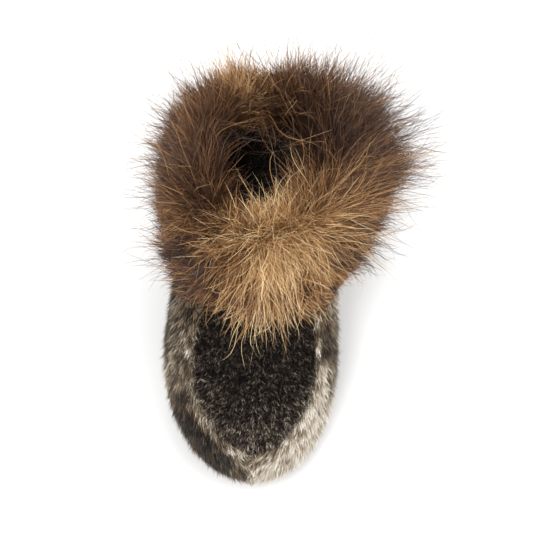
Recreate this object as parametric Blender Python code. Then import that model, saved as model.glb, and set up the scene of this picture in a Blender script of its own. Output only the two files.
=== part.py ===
"""A left slipper of short-haired skins on a soft sole, with a deep fur cuff round its collar.

It stands empty on its sole, in metres, with +Z up and the toe towards -Y. The origin is on the floor,
in the middle of the heel's flat spot. +X is the little toe's side.
"""

import collections
import math

import bmesh
import bpy
from mathutils import Vector

# The foot's plan, over the skins
LENGTH = 0.240
HEEL_BEHIND = 0.034
BALL_WIDTH = 0.104
BALL_TO_TOE = 0.084
HEEL_WIDTH = 0.074
HEEL_ROUND = 0.038
WAIST_TUCK = 0.004
INWARD_BOW = 0.0035

# The sole and the insole
SOLE_THICKNESS = 0.004
SOLE_INSET = 0.0035
SOLE_EDGE_ROUND = 0.0012
TOE_SPRING = 0.006
TOE_SPRING_LENGTH = 0.045
HEEL_SPRING = 0.002
HEEL_SPRING_LENGTH = 0.014
ARCH_RISE = 0.0015
ARCH_LENGTH = 0.070
ARCH_BEFORE_HEEL = 0.024
INSOLE_THICKNESS = 0.005
INSOLE_ROOM = 0.0006

# The upper
WALL = 0.0035
WALL_SWELL = 0.003
SEAM_DEPTH = 0.0014
COLLAR_FRONT_HEIGHT = 0.086
COLLAR_BACK_HEIGHT = 0.090
COLLAR_WIDTH = 0.084
COLLAR_LENGTH = 0.106
COLLAR_BEFORE_HEEL_BACK = 0.010
COLLAR_INWARD = 0.0015

# The fur cuff: how thick the fur stands on the front, the sides and the back of the collar, and over its rim
FUR_FRONT = 0.015
FUR_OUTER_SIDE = 0.034
FUR_INNER_SIDE = 0.021
FUR_BACK = 0.011
FUR_ABOVE_RIM = 0.020
FUR_INSIDE = 0.009
LOCK_WIDTH = 0.014
LOCK_ROOT_DEPTH = 0.004
HEM_CLEARANCE = 0.008

# Touching pieces keep this gap. The cuff's is wider, because its facets cross the wall's.
GAP = 0.0003
CUFF_GAP = 0.0005

TOE_Y = HEEL_BEHIND - LENGTH
BALL_Y = TOE_Y + BALL_TO_TOE
HEEL_Y = HEEL_BEHIND - HEEL_ROUND

# A half turn round the foot goes from the toe, at 0, to the back of the heel, at 1.
TOE_TURN = 0.42
HEEL_TURN = 0.76
HALF_STEPS = 30
TURN_STEP = 0.01

# Each section is a ring round the whole foot, from the sole's edge up to the collar's rim.
# travel is the share of the way from the foot's plan to the collar's oval, and rise the share of the height.
# swell is the share of WALL_SWELL by which the wall stands out from its plan.
Section = collections.namedtuple(
    "Section", "name toe_travel toe_rise side_travel side_rise heel_travel heel_rise swell"
)
SECTIONS = (
    Section("sole_edge", 0.000, 0.00, 0.00, 0.00, 0.00, 0.00, -1.0),
    Section("low_wall", 0.000, 0.08, 0.00, 0.10, -0.05, 0.11, -0.1),
    Section("wall", 0.002, 0.17, 0.00, 0.22, -0.10, 0.22, 0.0),
    Section("shoulder", 0.015, 0.26, 0.02, 0.36, -0.05, 0.33, 0.0),
    Section("plug_seam", 0.045, 0.33, 0.10, 0.49, 0.10, 0.43, 0.0),
    Section("toe_crown", 0.110, 0.42, 0.22, 0.60, 0.30, 0.53, 0.0),
    Section("low_vamp", 0.230, 0.52, 0.36, 0.70, 0.50, 0.62, 0.0),
    Section("vamp", 0.400, 0.62, 0.51, 0.78, 0.66, 0.72, 0.0),
    Section("instep", 0.600, 0.72, 0.67, 0.85, 0.80, 0.82, 0.0),
    Section("throat", 0.820, 0.84, 0.84, 0.92, 0.92, 0.91, 0.0),
    Section("rim", 1.000, 1.00, 1.00, 1.00, 1.00, 1.00, 0.0),
)
RIM_LEVEL = len(SECTIONS) - 1

# The plug on top of the foot: its seam runs round its tip along one ring, then up each side at one turn. Beside
# the tip the rings are lifted by up to PLUG_TIP_LIFT levels, and the lift dies out LIFT_FADE levels above the seam.
SEAM_LEVEL = 4.3
PLUG_HALF_TURN = 0.245
SEAM_HALF_TURN = 0.012
PLUG_TIP_LIFT = 0.9
LIFT_FADE = 4
LIFT_ENDS_AT = 0.42
UPPER_LEVELS = (0, 0.5, 1, 1.5, 2.2, 3.1, 3.95, SEAM_LEVEL, 4.65, 5.4, 6.2, 7.1, 8, 9, 10)

# The sections that the cuff's outer and inner hems follow, at the toe's side, the sides and the heel
HEM_LEVELS = (8.5, 6.2, 5.6)
INNER_HEM_LEVELS = (9.2, 8.4, 8.4)
ROOM_BELOW_HEM = 2
CUFF_HALF_STEPS = 20

# The cuff's outer face: the share of the way from its hem to the rim, and of the fur's thickness there
Skirt = collections.namedtuple("Skirt", "rise thickness")
SKIRT = (
    Skirt(0.00, 0.12),
    Skirt(0.10, 0.50),
    Skirt(0.30, 0.85),
    Skirt(0.60, 1.00),
    Skirt(0.90, 1.00),
)

# Then over the rim: how far the fur reaches, as shares of its thickness outside, of FUR_ABOVE_RIM and of
# FUR_INSIDE
Crest = collections.namedtuple("Crest", "outside above inside")
CREST = (
    Crest(0.88, 0.30, 0.0),
    Crest(0.50, 0.80, 0.0),
    Crest(0.10, 1.00, 0.0),
    Crest(0.00, 0.90, 0.5),
    Crest(0.00, 0.45, 1.0),
    Crest(0.00, -0.10, 1.0),
)

# Rows of locks round the cuff. place counts the rows of SKIRT and CREST from the hem, at 0. Each lean turns a
# lock from the face's normal towards the hem, in degrees. Each length is a share of the fur's thickness there.
LockRow = collections.namedtuple(
    "LockRow", "place count start width front_lean side_lean back_lean front_length side_length back_length"
)
LOCK_ROWS = (
    LockRow(0.9, 17, 0.0, 1.0, 72, 44, 56, 1.10, 0.70, 1.50),
    LockRow(2.4, 17, 0.5, 1.0, 58, 28, 35, 1.50, 0.90, 1.90),
    LockRow(4.0, 17, 0.0, 1.0, 44, 10, 8, 1.60, 0.95, 2.00),
    LockRow(6.0, 15, 0.5, 1.0, 16, 4, 0, 1.20, 0.90, 2.00),
    LockRow(7.8, 12, 0.0, 0.8, -10, -14, -8, 0.90, 0.60, 1.60),
)
PLACE_STEP = 0.05
LOCK_SIDES = 5
LOCK_STEPS = 3
LOCK_BEND = 26
LOCK_TAPER = 1.4


def clear_scene():
    for obj in list(bpy.data.objects):
        bpy.data.objects.remove(obj)


def material(name, colour, roughness):
    made = bpy.data.materials.new(name)
    made.use_nodes = True
    shader = made.node_tree.nodes["Principled BSDF"]
    shader.inputs["Base Color"].default_value = (*colour, 1.0)
    shader.inputs["Roughness"].default_value = roughness
    shader.inputs["Metallic"].default_value = 0.0
    return made


def node(name, bm, finish, smooth_angle=40):
    """One named object from a bmesh, shaded smooth, with its finish."""
    bmesh.ops.recalc_face_normals(bm, faces=bm.faces)
    mesh = bpy.data.meshes.new(name)
    bm.to_mesh(mesh)
    bm.free()
    mesh.shade_smooth()
    mesh.set_sharp_from_angle(angle=math.radians(smooth_angle))
    obj = bpy.data.objects.new(name, mesh)
    bpy.context.scene.collection.objects.link(obj)
    if finish:
        mesh.materials.append(finish)
    return obj


def eased(share):
    share = min(1.0, max(0.0, share))
    return share * share * (3 - 2 * share)


def between(turn, toe, side, heel):
    """A value that is toe at the front, side halfway round and heel at the back."""
    along = math.cos(math.pi * abs(turn))
    front, back = max(0.0, along) ** 2, min(0.0, along) ** 2
    return toe * front + heel * back + side * (1 - front - back)


def through(rows, level):
    """The rows' numbers at a level between two of them, on a smooth curve through them all."""
    low = min(int(level), len(rows) - 2)
    share = level - low
    near = [rows[min(max(low + step, 0), len(rows) - 1)] for step in (-1, 0, 1, 2)]
    found = []
    for a, b, c, d in zip(*near):
        slope_b, slope_c = (c - a) / 2, (d - b) / 2
        cubic = 2 * (b - c) + slope_b + slope_c
        square = 3 * (c - b) - 2 * slope_b - slope_c
        found.append(((cubic * share + square) * share + slope_b) * share + b)
    return found


def plan(turn):
    """The foot's plan over the skins. turn is 0 at the toe, 1 at the heel, and negative on the inner side."""
    half = abs(turn)
    if half < TOE_TURN:
        angle = half / TOE_TURN * math.pi / 2
        x = BALL_WIDTH / 2 * math.sin(angle)
        y = BALL_Y - BALL_TO_TOE * math.cos(angle)
    elif half < HEEL_TURN:
        share = (half - TOE_TURN) / (HEEL_TURN - TOE_TURN)
        tuck = WAIST_TUCK if turn < 0 else WAIST_TUCK / 3
        x = BALL_WIDTH / 2 + (HEEL_WIDTH - BALL_WIDTH) / 2 * eased(share)
        x -= tuck * math.sin(math.pi * share) ** 2
        y = BALL_Y + (HEEL_Y - BALL_Y) * share
    else:
        angle = (half - HEEL_TURN) / (1 - HEEL_TURN) * math.pi / 2
        x = HEEL_WIDTH / 2 * math.cos(angle)
        y = HEEL_Y + HEEL_ROUND * math.sin(angle)
    forward = (HEEL_BEHIND - y) / LENGTH
    return Vector((math.copysign(x, turn) - INWARD_BOW * math.sin(math.pi * forward), y))


def outward(turn):
    """The level direction that points out of the plan."""
    if abs(turn) > 1 - TURN_STEP:
        return Vector((0, 1))
    along = plan(turn + TURN_STEP) - plan(turn - TURN_STEP)
    return Vector((along.y, -along.x)).normalized()


def inset_plan(turn, inset):
    return plan(turn) - outward(turn) * inset


def ground(y):
    """How high the sole's underside stands over the floor."""
    toe = max(0.0, TOE_Y + TOE_SPRING_LENGTH - y) / TOE_SPRING_LENGTH
    heel = max(0.0, y - (HEEL_BEHIND - HEEL_SPRING_LENGTH)) / HEEL_SPRING_LENGTH
    arch = min(1.0, max(0.0, (-y - ARCH_BEFORE_HEEL) / ARCH_LENGTH))
    return TOE_SPRING * toe**2 + HEEL_SPRING * heel**2 + ARCH_RISE * math.sin(math.pi * arch) ** 2


def collar(turn):
    """A point on the outer edge of the collar's rim."""
    angle = math.pi * turn
    middle_y = HEEL_BEHIND - COLLAR_BEFORE_HEEL_BACK - COLLAR_LENGTH / 2
    x = COLLAR_WIDTH / 2 * math.sin(angle) - COLLAR_INWARD
    y = middle_y - COLLAR_LENGTH / 2 * math.cos(angle)
    back = (1 - math.cos(angle)) / 2
    return Vector((x, y, COLLAR_FRONT_HEIGHT + (COLLAR_BACK_HEIGHT - COLLAR_FRONT_HEIGHT) * back))


def skin(turn, level):
    """A point on the upper's outer face, without the groove of its seam."""
    row = through([section[1:] for section in SECTIONS], level)
    toe_travel, toe_rise, side_travel, side_rise, heel_travel, heel_rise, swell = row
    travel = between(turn, toe_travel, side_travel, heel_travel)
    rise = between(turn, toe_rise, side_rise, heel_rise)
    foot = inset_plan(turn, -WALL_SWELL * swell)
    rim = collar(turn)
    floor = ground(foot.y) + SOLE_THICKNESS + GAP
    place = foot.lerp(rim.xy, travel)
    return Vector((place.x, place.y, floor + (rim.z - floor) * rise))


def skin_normal(turn, level):
    turn = min(max(turn, TURN_STEP - 1), 1 - TURN_STEP)
    round_foot = skin(turn + TURN_STEP, level) - skin(turn - TURN_STEP, level)
    up = skin(turn, min(level + TURN_STEP, RIM_LEVEL)) - skin(turn, max(level - TURN_STEP, 0))
    return round_foot.cross(up).normalized()


def turns(half_steps):
    """Turns once round the foot, from the heel over the toe and back."""
    return [step / half_steps for step in range(-half_steps, half_steps)]


def upper_turns():
    """Turns round the upper, with three close ones along each side of the plug for its seam."""
    seam = [PLUG_HALF_TURN + step * SEAM_HALF_TURN for step in (-1, 0, 1)]
    even = [turn for turn in turns(HALF_STEPS) if abs(abs(turn) - PLUG_HALF_TURN) > 1.5 * SEAM_HALF_TURN]
    return sorted(even + seam + [-turn for turn in seam])


def join_rings(bm, low, high):
    """A band of triangles between two closed rings, all cut the same way, so nested bands stay parallel."""
    for step in range(len(low)):
        after = (step + 1) % len(low)
        bm.faces.new((low[step], low[after], high[after]))
        bm.faces.new((low[step], high[after], high[step]))


def add_rings(bm, rings):
    """Closed rings of points joined into one band, and the rings' vertices."""
    made = [[bm.verts.new(point) for point in ring] for ring in rings]
    for low, high in zip(made, made[1:]):
        join_rings(bm, low, high)
    return made


def cap_across(bm, ring):
    """Closes a ring round the foot with strips that run straight across it."""
    toe = len(ring) // 2
    for step in range(1, toe):
        strip = (ring[toe - step + 1], ring[toe + step - 1], ring[toe + step], ring[toe - step])
        bm.faces.new(dict.fromkeys(strip))
    bm.faces.new((ring[1], ring[-1], ring[0]))


def slab(name, layers, finish):
    """A flat piece in the foot's plan. Each layer is (inset, height over the sole's underside)."""
    bm = bmesh.new()
    rings = []
    for inset, height in layers:
        places = [inset_plan(turn, inset) for turn in turns(HALF_STEPS)]
        rings.append([Vector((p.x, p.y, ground(p.y) + height)) for p in places])
    made = add_rings(bm, rings)
    cap_across(bm, made[0])
    cap_across(bm, made[-1])
    return node(name, bm, finish)


def make_outsole(finish):
    return slab(
        "outsole",
        (
            (SOLE_INSET + SOLE_EDGE_ROUND, 0.0),
            (SOLE_INSET, SOLE_EDGE_ROUND),
            (SOLE_INSET, SOLE_THICKNESS),
        ),
        finish,
    )


def make_insole(finish):
    edge = WALL_SWELL + WALL + INSOLE_ROOM
    bottom = SOLE_THICKNESS + GAP
    return slab("insole", ((edge, bottom), (edge, bottom + INSOLE_THICKNESS)), finish)


def seam_groove(turn, level):
    """The plug's seam pulls the wall in, round the plug's tip and up its sides."""
    round_tip = level == SEAM_LEVEL and abs(turn) <= PLUG_HALF_TURN
    up_side = level >= SEAM_LEVEL and abs(turn) == PLUG_HALF_TURN
    return SEAM_DEPTH if round_tip or up_side else 0.0


def lifted(turn, level):
    """Where a ring of the upper runs at a turn: beside the plug's tip it follows the seam up."""
    near = level / SEAM_LEVEL if level < SEAM_LEVEL else max(0.0, 1 - (level - SEAM_LEVEL) / LIFT_FADE)
    beside = min(1.0, abs(turn) / PLUG_HALF_TURN)
    past = eased((abs(turn) - PLUG_HALF_TURN) / (LIFT_ENDS_AT - PLUG_HALF_TURN))
    return level + PLUG_TIP_LIFT * near * beside * (1 - past)


def skin_ring(level, depths):
    """A ring round the foot, with each point its own depth under the upper's outer face."""
    ring = []
    for turn, depth in zip(upper_turns(), depths):
        place = lifted(turn, level)
        ring.append(skin(turn, place) - skin_normal(turn, place) * depth)
    return ring


def make_upper(finish):
    """The plug on top of the foot and the skins round it, as one wall that is open at collar and sole."""
    bm = bmesh.new()
    every_turn = upper_turns()
    rings = [skin_ring(level, [seam_groove(turn, level) for turn in every_turn]) for level in UPPER_LEVELS]
    rings += [skin_ring(level, [WALL] * len(every_turn)) for level in reversed(UPPER_LEVELS)]
    made = add_rings(bm, rings)
    join_rings(bm, made[-1], made[0])
    return node("upper", bm, finish)


def fur_thickness(turn):
    return between(turn, FUR_FRONT, FUR_OUTER_SIDE if turn > 0 else FUR_INNER_SIDE, FUR_BACK)


def rim_out(turn):
    """The level direction out of the collar's oval."""
    angle = math.pi * turn
    return Vector((COLLAR_LENGTH * math.sin(angle), -COLLAR_WIDTH * math.cos(angle), 0)).normalized()


def cuff_outside(turn):
    """Points over the cuff's outer face at one turn: up its skirt from the hem, then over the rim and in."""
    hem, thickness = between(turn, *HEM_LEVELS), fur_thickness(turn)
    points = []
    for row in SKIRT:
        level = hem + (RIM_LEVEL - hem) * row.rise
        points.append(skin(turn, level) + skin_normal(turn, level) * thickness * row.thickness)
    out = rim_out(turn)
    middle = skin(turn, RIM_LEVEL) - out * WALL / 2
    for row in CREST:
        sideways = thickness * row.outside - (FUR_INSIDE + WALL / 2) * row.inside
        points.append(middle + out * sideways + Vector((0, 0, FUR_ABOVE_RIM * row.above)))
    return points


def cuff_section(turn):
    """The closed outline of the cuff at one turn: over its outer face, then back inside the wall."""
    points = cuff_outside(turn)
    outer, inner = between(turn, *HEM_LEVELS), between(turn, *INNER_HEM_LEVELS)
    for level in (inner, (inner + outer) / 2, outer):
        points.append(skin(turn, level) - skin_normal(turn, level) * WALL / 2)
    return points


def make_wall_room():
    """The room that the cuff leaves for the wall and its gap, and below the inner hem for the foot."""
    bm = bmesh.new()
    every_turn = upper_turns()
    levels = [level for level in UPPER_LEVELS if level >= min(HEM_LEVELS) - ROOM_BELOW_HEM]
    outer = [skin_ring(level, [-CUFF_GAP] * len(every_turn)) for level in levels]
    inner = []
    for level in levels:
        inner_hems = [between(turn, *INNER_HEM_LEVELS) for turn in every_turn]
        clearances = [CUFF_GAP if level >= hem else HEM_CLEARANCE for hem in inner_hems]
        inner.append(skin_ring(level, [WALL + clearance for clearance in clearances]))
    for top in (outer[-1], inner[-1]):
        for point in top:
            point.z += CUFF_GAP
    made = add_rings(bm, outer + inner[::-1])
    join_rings(bm, made[-1], made[0])
    room = node("wall_room", bm, None)
    room.hide_render = True
    room.display_type = "WIRE"
    return room


def wrapped(turn):
    return (turn + 1) % 2 - 1


def cuff_face(turn, place):
    """A point on the cuff's outer face."""
    return Vector(through(cuff_outside(wrapped(turn)), place))


def face_directions(turn, place):
    """The cuff's way out and its way up at a point of its outer face."""
    round_cuff = cuff_face(turn + TURN_STEP, place) - cuff_face(turn - TURN_STEP, place)
    up = cuff_face(turn, place + PLACE_STEP) - cuff_face(turn, place - PLACE_STEP)
    return round_cuff.cross(up).normalized(), up.normalized()


def add_lock(bm, turn, row):
    """A curved horn that stands out of the cuff and bends towards the floor at its tip."""
    normal, up = face_directions(turn, row.place)
    across = normal.cross(up).normalized()
    lean = between(turn, row.front_lean, row.side_lean, row.back_lean)
    length = fur_thickness(turn) * between(turn, row.front_length, row.side_length, row.back_length)
    point = cuff_face(turn, row.place) - normal * LOCK_ROOT_DEPTH
    rings = []
    for step in range(LOCK_STEPS):
        share = step / LOCK_STEPS
        angle = math.radians(lean + LOCK_BEND * (share - 0.5))
        way = normal * math.cos(angle) - up * math.sin(angle)
        over = way.cross(across).normalized() if step else -up
        radius = LOCK_WIDTH * row.width / 2 * (1 - share**LOCK_TAPER)
        sides = [2 * math.pi * side / LOCK_SIDES for side in range(LOCK_SIDES)]
        rings.append([point + (across * math.cos(side) + over * math.sin(side)) * radius for side in sides])
        point = point + way * length / LOCK_STEPS
    made = add_rings(bm, rings)
    bm.faces.new(made[0])
    tip = bm.verts.new(point)
    for step in range(LOCK_SIDES):
        bm.faces.new((made[-1][step], made[-1][(step + 1) % LOCK_SIDES], tip))


def make_cuff(finish):
    """A strip of deep fur that is folded over the rim, with its locks."""
    bm = bmesh.new()
    made = add_rings(bm, [cuff_section(turn) for turn in turns(CUFF_HALF_STEPS)])
    join_rings(bm, made[-1], made[0])
    cuff = node("fur_cuff", bm, finish)

    locks = bmesh.new()
    for row in LOCK_ROWS:
        for index in range(row.count):
            add_lock(locks, -1 + 2 * (index + row.start) / row.count, row)
    shapes = node("lock_shapes", locks, finish)
    shapes.hide_render = True
    shapes.display_type = "WIRE"
    join = cuff.modifiers.new("locks", "BOOLEAN")
    join.operation = "UNION"
    join.object = shapes
    join.use_self = True
    cut = cuff.modifiers.new("wall_room", "BOOLEAN")
    cut.operation = "DIFFERENCE"
    cut.object = make_wall_room()
    return cuff


def main():
    clear_scene()
    make_outsole(material("sole_suede", (0.20, 0.13, 0.08), 0.9))
    make_insole(material("insole_fleece", (0.03, 0.027, 0.025), 0.95))
    make_upper(material("short_haired_skin", (0.10, 0.085, 0.07), 0.7))
    make_cuff(material("deep_fur", (0.32, 0.19, 0.10), 0.75))


main()
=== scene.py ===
"""The looks of a left slipper: short-haired skins over the foot and a deep fur cuff round the collar."""

import collections
import math

import bpy
import numpy as np
from mathutils import Matrix, Vector, noise


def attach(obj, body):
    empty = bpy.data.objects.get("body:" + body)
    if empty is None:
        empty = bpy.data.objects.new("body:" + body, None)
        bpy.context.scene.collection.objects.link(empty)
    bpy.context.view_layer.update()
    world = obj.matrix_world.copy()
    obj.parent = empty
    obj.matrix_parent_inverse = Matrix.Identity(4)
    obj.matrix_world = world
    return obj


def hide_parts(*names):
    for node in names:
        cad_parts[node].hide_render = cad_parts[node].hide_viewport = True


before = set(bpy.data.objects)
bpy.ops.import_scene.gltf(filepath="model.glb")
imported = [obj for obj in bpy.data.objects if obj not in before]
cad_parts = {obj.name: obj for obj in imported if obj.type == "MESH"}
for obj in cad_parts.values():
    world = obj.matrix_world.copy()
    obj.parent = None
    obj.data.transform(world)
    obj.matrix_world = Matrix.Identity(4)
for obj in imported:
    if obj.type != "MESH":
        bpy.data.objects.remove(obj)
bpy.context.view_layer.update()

# The outsole is one piece of napped suede, cut to the foot's plan and turned up a little at the toe.
# Its rounded edge is whip-stitched to the skins all the way round.

LENGTH = 0.240
HEEL_BEHIND = 0.034
BALL_WIDTH = 0.104
BALL_TO_TOE = 0.084
HEEL_WIDTH = 0.074
HEEL_ROUND = 0.038
WAIST_TUCK = 0.004
INWARD_BOW = 0.0035
TOE_Y = HEEL_BEHIND - LENGTH
BALL_Y = TOE_Y + BALL_TO_TOE
HEEL_Y = HEEL_BEHIND - HEEL_ROUND
TOE_TURN = 0.42
HEEL_TURN = 0.76
TURN_STEP = 0.01

SOLE_THICKNESS = 0.004
SOLE_INSET = 0.0035
SOLE_EDGE_ROUND = 0.0012
TOE_SPRING = 0.006
TOE_SPRING_LENGTH = 0.045
HEEL_SPRING = 0.002
HEEL_SPRING_LENGTH = 0.014
ARCH_RISE = 0.0015
ARCH_LENGTH = 0.070
ARCH_BEFORE_HEEL = 0.024
GAP = 0.0003
SOLE_HALF_STEPS = 80
SOLE_ACROSS = 28
SUEDE_RELIEF = 0.00012
SUEDE_RELIEF_SIZE = 0.004
SOLE_EDGE_STEPS = 5
SOLE_EDGE_TOP = 0.7
SOLE_TOP_TUCK = 0.0004


def rgb(red, green, blue):
    """A colour named by its screen values, from 0 to 255, as the linear colour that materials use."""
    shares = [value / 255 for value in (red, green, blue)]
    return (*[v / 12.92 if v < 0.04045 else ((v + 0.055) / 1.055) ** 2.4 for v in shares], 1.0)


def eased(share):
    share = min(1.0, max(0.0, share))
    return share * share * (3 - 2 * share)


def between(turn, toe, side, heel):
    """A value that is toe at the front, side halfway round and heel at the back."""
    along = math.cos(math.pi * abs(turn))
    front, back = max(0.0, along) ** 2, min(0.0, along) ** 2
    return toe * front + heel * back + side * (1 - front - back)


def through(rows, level):
    """The rows' numbers at a level between two of them, on a smooth curve through them all."""
    low = min(int(level), len(rows) - 2)
    share = level - low
    near = [rows[min(max(low + step, 0), len(rows) - 1)] for step in (-1, 0, 1, 2)]
    found = []
    for a, b, c, d in zip(*near):
        slope_b, slope_c = (c - a) / 2, (d - b) / 2
        cubic = 2 * (b - c) + slope_b + slope_c
        square = 3 * (c - b) - 2 * slope_b - slope_c
        found.append(((cubic * share + square) * share + slope_b) * share + b)
    return found


def plan(turn):
    """The foot's plan over the skins. turn is 0 at the toe, 1 at the heel, and negative on the inner side."""
    half = abs(turn)
    if half < TOE_TURN:
        angle = half / TOE_TURN * math.pi / 2
        x = BALL_WIDTH / 2 * math.sin(angle)
        y = BALL_Y - BALL_TO_TOE * math.cos(angle)
    elif half < HEEL_TURN:
        share = (half - TOE_TURN) / (HEEL_TURN - TOE_TURN)
        tuck = WAIST_TUCK if turn < 0 else WAIST_TUCK / 3
        x = BALL_WIDTH / 2 + (HEEL_WIDTH - BALL_WIDTH) / 2 * eased(share)
        x -= tuck * math.sin(math.pi * share) ** 2
        y = BALL_Y + (HEEL_Y - BALL_Y) * share
    else:
        angle = (half - HEEL_TURN) / (1 - HEEL_TURN) * math.pi / 2
        x = HEEL_WIDTH / 2 * math.cos(angle)
        y = HEEL_Y + HEEL_ROUND * math.sin(angle)
    forward = (HEEL_BEHIND - y) / LENGTH
    return Vector((math.copysign(x, turn) - INWARD_BOW * math.sin(math.pi * forward), y))


def inset_plan(turn, inset):
    """The plan moved inwards by inset."""
    if abs(turn) > 1 - TURN_STEP:
        outward = Vector((0, 1))
    else:
        along = plan(turn + TURN_STEP) - plan(turn - TURN_STEP)
        outward = Vector((along.y, -along.x)).normalized()
    return plan(turn) - outward * inset


def ground(y):
    """How high the sole's underside stands over the floor."""
    toe = max(0.0, TOE_Y + TOE_SPRING_LENGTH - y) / TOE_SPRING_LENGTH
    heel = max(0.0, y - (HEEL_BEHIND - HEEL_SPRING_LENGTH)) / HEEL_SPRING_LENGTH
    arch = min(1.0, max(0.0, (-y - ARCH_BEFORE_HEEL) / ARCH_LENGTH))
    return TOE_SPRING * toe**2 + HEEL_SPRING * heel**2 + ARCH_RISE * math.sin(math.pi * arch) ** 2


def turns(half_steps):
    """Turns once round the foot, from the heel over the toe and back."""
    return [step / half_steps for step in range(-half_steps, half_steps)]


def made_object(name, points, faces, values=None, edges=()):
    """An object at the origin with a smooth mesh, and named values at each of its points."""
    mesh = bpy.data.meshes.new(name)
    mesh.from_pydata([tuple(point) for point in points], edges, faces)
    mesh.shade_smooth()
    for title, numbers in (values or {}).items():
        vectors = np.ndim(numbers) == 2
        kind, field = ("FLOAT_VECTOR", "vector") if vectors else ("FLOAT", "value")
        layer = mesh.attributes.new(title, kind, "POINT")
        layer.data.foreach_set(field, np.ravel(np.array(numbers, dtype=np.float32)))
    made = bpy.data.objects.new(name, mesh)
    bpy.context.scene.collection.objects.link(made)
    return made


def bands(rings, count, closed=False):
    """Quads between rings of count points each. A closed set joins its last ring to its first."""
    faces = []
    for ring in range(rings if closed else rings - 1):
        low, high = ring * count, (ring + 1) % rings * count
        for step in range(count):
            after = (step + 1) % count
            faces.append((low + step, low + after, high + after, high + step))
    return faces


def plate(name, layers, half_steps, across, relief):
    """A flat closed piece in the foot's plan. Each layer is (inset, height over the sole's underside)."""
    points, count = [], 2 * half_steps
    for inset, height in layers:
        for turn in turns(half_steps):
            place = inset_plan(turn, inset)
            points.append(Vector((place.x, place.y, ground(place.y) + height)))
    faces = bands(len(layers), count)
    for first, facing_up in ((0, False), ((len(layers) - 1) * count, True)):
        rows = [[first + half_steps] * (across + 1)]
        for step in range(1, half_steps):
            left, right = first + half_steps - step, first + half_steps + step
            row = [left]
            for cell in range(1, across):
                row.append(len(points))
                points.append(points[left].lerp(points[right], cell / across))
            rows.append(row + [right])
        rows.append([first] * (across + 1))
        for near, far in zip(rows, rows[1:]):
            for cell in range(across):
                corners = [near[cell], near[cell + 1], far[cell + 1], far[cell]]
                corners = list(dict.fromkeys(corners))
                faces.append(corners if facing_up else corners[::-1])
    for point in points:
        point.z += relief(point)
    return made_object(name, points, faces)


class Wire:
    """An output in a node tree. Arithmetic adds Math nodes, or Vector Math nodes where it meets vectors."""

    def __init__(self, tree, socket=None):
        self.tree = tree
        self.socket = socket

    def node(self, kind, settings=None, inputs=None, output=None):
        """A new node's chosen output. Settings are set first, and each input is a value or another wire."""
        made = self.tree.nodes.new(kind)
        for name, value in (settings or {}).items():
            if name == "stops":
                ramp = made.color_ramp
                while len(ramp.elements) < len(value):
                    ramp.elements.new(1.0)
                for stop, (position, colour) in zip(ramp.elements, value):
                    stop.position, stop.color = position, colour
            else:
                setattr(made, name, value)
        for name, value in (inputs or {}).items():
            if isinstance(name, int):
                socket = made.inputs[name]
            else:
                socket = next(entry for entry in made.inputs if entry.name == name and entry.enabled)
            if isinstance(value, Wire):
                self.tree.links.new(value.socket, socket)
            else:
                socket.default_value = value
        return Wire(self.tree, made.outputs[0]).of(output) if made.outputs else None

    def of(self, output):
        """Another output of the same node, by its name."""
        ports = [port for port in self.socket.node.outputs if port.enabled]
        return Wire(self.tree, next(port for port in ports if output in (None, port.name)))

    def maths(self, operation, *values):
        every = (self, *values)
        vector = any(isinstance(value, Wire) and value.socket.type == "VECTOR" for value in every)
        kind = "ShaderNodeVectorMath" if vector else "ShaderNodeMath"
        return self.node(kind, {"operation": operation}, dict(enumerate(every)))

    def scaled(self, factor):
        return self.node("ShaderNodeVectorMath", {"operation": "SCALE"}, {0: self, "Scale": factor})

    def __add__(self, other):
        return self.maths("ADD", other)

    __radd__ = __add__

    def __sub__(self, other):
        return self.maths("SUBTRACT", other)

    def __rsub__(self, other):
        return self.node("ShaderNodeMath", {"operation": "SUBTRACT"}, {0: other, 1: self})

    def __mul__(self, other):
        if self.socket.type == "VECTOR" and (not isinstance(other, Wire) or other.socket.type != "VECTOR"):
            return self.scaled(other)
        return self.maths("MULTIPLY", other)

    __rmul__ = __mul__

    def __pow__(self, power):
        return self.maths("POWER", power)

    def clamped(self):
        return self.node("ShaderNodeClamp", {}, {"Value": self})

    def ramp(self, *stops):
        """A colour read from stops of (position, colour)."""
        return self.node("ShaderNodeValToRGB", {"stops": stops}, {"Fac": self})

    def blend(self, other, factor):
        """This colour blended with another by a factor."""
        return self.node("ShaderNodeMix", {"data_type": "RGBA"}, {"Factor": factor, "A": self, "B": other})

    def noise(self, scale, detail=2.0, roughness=0.5):
        """Noise from 0 to 1 at this place."""
        sizes = {"Vector": self, "Scale": scale, "Detail": detail, "Roughness": roughness}
        return self.node("ShaderNodeTexNoise", {}, sizes, "Fac")


def new_finish(name, roughness):
    """A material, a wire to build its nodes with, and its shader."""
    made = bpy.data.materials.new(name)
    made.use_nodes = True
    shader = made.node_tree.nodes["Principled BSDF"]
    shader.inputs["Roughness"].default_value = roughness
    return made, Wire(made.node_tree), shader


def feed(shader, name, wire):
    wire.tree.links.new(wire.socket, shader.inputs[name])


def roughen(shader, height, strength, distance):
    """Bumps a shader's surface by a height from 0 to 1, up to a distance in metres."""
    sizes = {"Strength": strength, "Distance": distance, "Height": height}
    feed(shader, "Normal", height.node("ShaderNodeBump", {}, sizes))


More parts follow.
